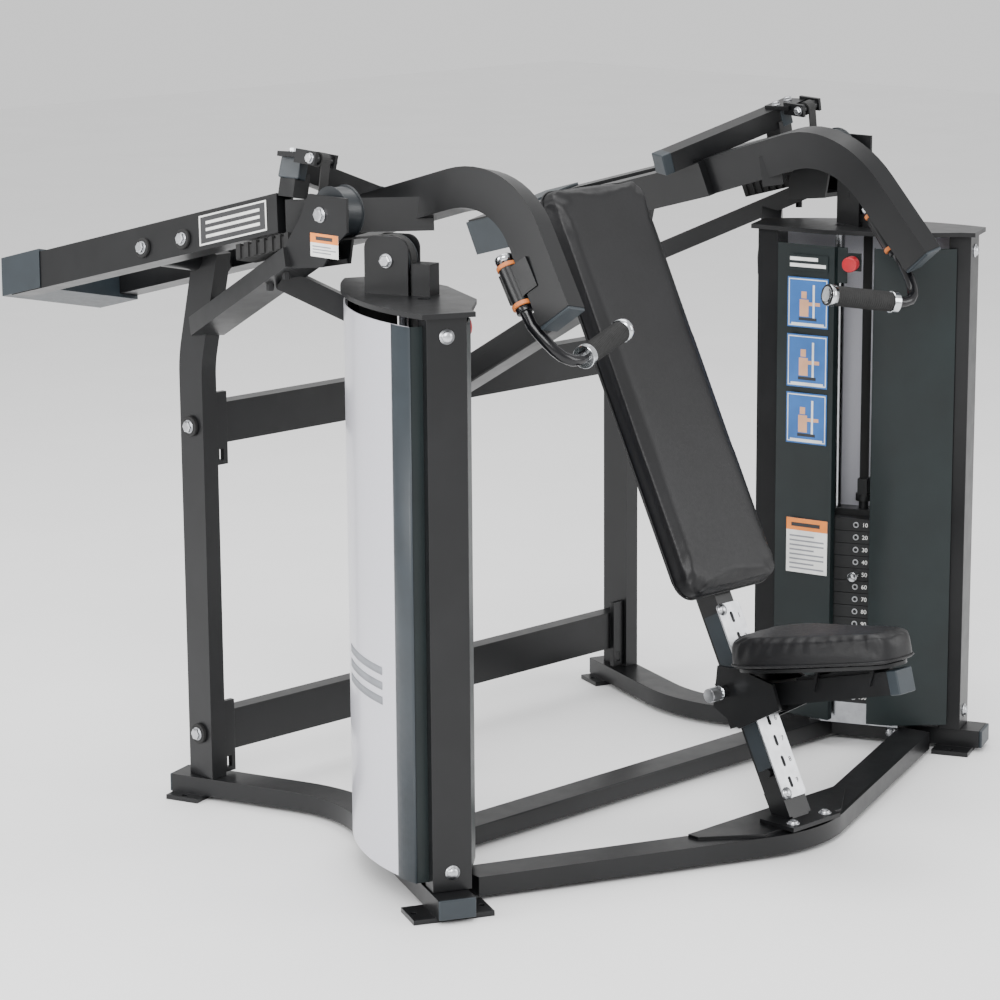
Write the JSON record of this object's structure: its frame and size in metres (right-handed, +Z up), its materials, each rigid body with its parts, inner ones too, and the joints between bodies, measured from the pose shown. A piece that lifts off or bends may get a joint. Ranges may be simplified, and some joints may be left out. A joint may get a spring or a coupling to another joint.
{
  "type": "shoulder press machine",
  "caption": "Two-arm selectorised shoulder press: splayed weight towers, pivoting press arms with belts and stacks, leaning backrest and a sliding seat.",
  "frame": {"origin": "centre of the bounding box at floor level", "axes": "+X to the user's left, the user faces -Y, +Z up; the YZ plane is the symmetry plane"},
  "size_m": [1.788, 1.8622, 1.4607],
  "materials": {
    "frame": "satin black powder coat",
    "gloss": "gloss black",
    "panel": "textured black-green",
    "slate": "satin slate grey",
    "silver": "satin silver",
    "vinyl": "upholstery vinyl",
    "zinc": "zinc plated",
    "rubber": "matt",
    "red": "gloss",
    "iron": "painted black",
    "belt": "matt",
    "chrome": "polished",
    "steel": "satin"
  },
  "bodies": {
    "frame": {"base_side_tube_left": "frame", "rear_post_left": "frame", "brace_left": "frame", "arm_bumper_left": "rubber", "tower_front_post_left": "frame", "tower_rear_post_left": "frame", "tower_top_left": "frame", "tower_shroud_left": "silver", "inner_panel_front_left": "panel", "inner_panel_rear_left": "panel", "stack_base_left": "steel", "stack_resting_left": "iron", "belt_arm_left": "belt", "belt_mid_left": "belt", "belt_stack_left": "belt", "base_side_tube_right": "frame", "rear_post_right": "frame", "brace_right": "frame", "arm_bumper_right": "rubber", "tower_front_post_right": "frame", "tower_rear_post_right": "frame", "tower_top_right": "frame", "tower_shroud_right": "silver", "inner_panel_front_right": "panel", "inner_panel_rear_right": "panel", "stack_base_right": "steel", "stack_resting_right": "iron", "belt_arm_right": "belt", "belt_mid_right": "belt", "belt_stack_right": "belt", "front_tube": "frame", "base_cross_tube": "frame", "lower_cross_tube": "frame", "upper_cross_tube": "frame", "centre_strut": "frame", "mast": "frame", "seat_scale": "zinc", "backrest_pad": "vinyl"},
    "arm_left": {"press_arm_left": "frame", "arm_counterweight_left": "slate"},
    "handle_left": {"handle_left": "gloss", "grip_left": "rubber"},
    "upper_pulley_left": {"upper_pulley_left": "zinc"},
    "tower_pulley_left": {"tower_pulley_left": "zinc"},
    "stack_left": {"stack_lifted_left": "iron"},
    "pin_left": {"selector_pin_left": "chrome"},
    "knob_left": {"addon_knob_left": "red"},
    "arm_right": {"press_arm_right": "frame", "arm_counterweight_right": "slate"},
    "handle_right": {"handle_right": "gloss", "grip_right": "rubber"},
    "upper_pulley_right": {"upper_pulley_right": "zinc"},
    "tower_pulley_right": {"tower_pulley_right": "zinc"},
    "stack_right": {"stack_lifted_right": "iron"},
    "pin_right": {"selector_pin_right": "chrome"},
    "knob_right": {"addon_knob_right": "red"},
    "seat": {"seat_carriage": "frame", "seat_pad": "vinyl"},
    "pop_pin": {"pop_pin": "zinc"}
  },
  "joints": [
    {"name": "press_arm_left", "type": "hinge", "parent": "frame", "child": "arm_left", "pos_m": [0.65459, 0.46419, 1.194], "axis": [-0.9776, 0.0341, -0.2079], "range_deg": [0, 38], "deforming": ["belt_arm_left"]},
    {"name": "stack_lift_left", "type": "slide", "parent": "frame", "child": "stack_left", "axis": [0, 0, 1], "range_m": [0, 0.3362], "deforming": ["belt_stack_left"]},
    {"name": "upper_pulley_left", "type": "hinge", "parent": "frame", "child": "upper_pulley_left", "pos_m": [0.744, -0.0898, 1.341], "axis": [1, 0, 0], "range_deg": [0, 369]},
    {"name": "tower_pulley_left", "type": "hinge", "parent": "frame", "child": "tower_pulley_left", "pos_m": [0.70454, -0.20065, 1.256], "axis": [-0.9421, 0.3354, 0], "range_deg": [0, 408]},
    {"name": "handle_swivel_left", "type": "hinge", "parent": "arm_left", "child": "handle_left", "pos_m": [0.56353, -0.42117, 1.16896], "axis": [0.0846, -0.5864, -0.8056], "range_deg": [-12, 12]},
    {"name": "selector_pull_left", "type": "slide", "parent": "stack_left", "child": "pin_left", "axis": [-0.9063, -0.4226, 0], "range_m": [0, 0.06]},
    {"name": "addon_pull_left", "type": "slide", "parent": "frame", "child": "knob_left", "axis": [-0.9063, -0.4226, 0], "range_m": [0, 0.012], "stiffness_N_per_m": 600},
    {"name": "press_arm_right", "type": "hinge", "parent": "frame", "child": "arm_right", "pos_m": [-0.65459, 0.46419, 1.194], "axis": [-0.9776, -0.0341, 0.2079], "range_deg": [0, 38], "deforming": ["belt_arm_right"]},
    {"name": "stack_lift_right", "type": "slide", "parent": "frame", "child": "stack_right", "axis": [0, 0, 1], "range_m": [0, 0.3362], "deforming": ["belt_stack_right"]},
    {"name": "upper_pulley_right", "type": "hinge", "parent": "frame", "child": "upper_pulley_right", "pos_m": [-0.744, -0.0898, 1.341], "axis": [1, 0, 0], "range_deg": [0, 369]},
    {"name": "tower_pulley_right", "type": "hinge", "parent": "frame", "child": "tower_pulley_right", "pos_m": [-0.70454, -0.20065, 1.256], "axis": [-0.9421, -0.3354, 0], "range_deg": [0, 408]},
    {"name": "handle_swivel_right", "type": "hinge", "parent": "arm_right", "child": "handle_right", "pos_m": [-0.56353, -0.42117, 1.16896], "axis": [0.0846, 0.5864, 0.8056], "range_deg": [-12, 12]},
    {"name": "selector_pull_right", "type": "slide", "parent": "stack_right", "child": "pin_right", "axis": [0.9063, -0.4226, 0], "range_m": [0, 0.06]},
    {"name": "addon_pull_right", "type": "slide", "parent": "frame", "child": "knob_right", "axis": [0.9063, -0.4226, 0], "range_m": [0, 0.012], "stiffness_N_per_m": 600},
    {"name": "seat_height", "type": "slide", "parent": "frame", "child": "seat", "axis": [0, 0.4564, 0.8898], "range_m": [-0.1, 0.075]},
    {"name": "pop_pin_pull", "type": "slide", "parent": "seat", "child": "pop_pin", "axis": [-1, 0, 0], "range_m": [0, 0.01], "stiffness_N_per_m": 800}
  ],
  "couplings": [
    {"joint": "stack_lift_left", "follows": "press_arm_left", "m_per_rad": 0.4978},
    {"joint": "upper_pulley_left", "follows": "press_arm_left", "ratio": 9.5915},
    {"joint": "tower_pulley_left", "follows": "press_arm_left", "ratio": 10.614},
    {"joint": "stack_lift_right", "follows": "press_arm_right", "m_per_rad": 0.4978},
    {"joint": "upper_pulley_right", "follows": "press_arm_right", "ratio": 9.5915},
    {"joint": "tower_pulley_right", "follows": "press_arm_right", "ratio": 10.614}
  ]
}
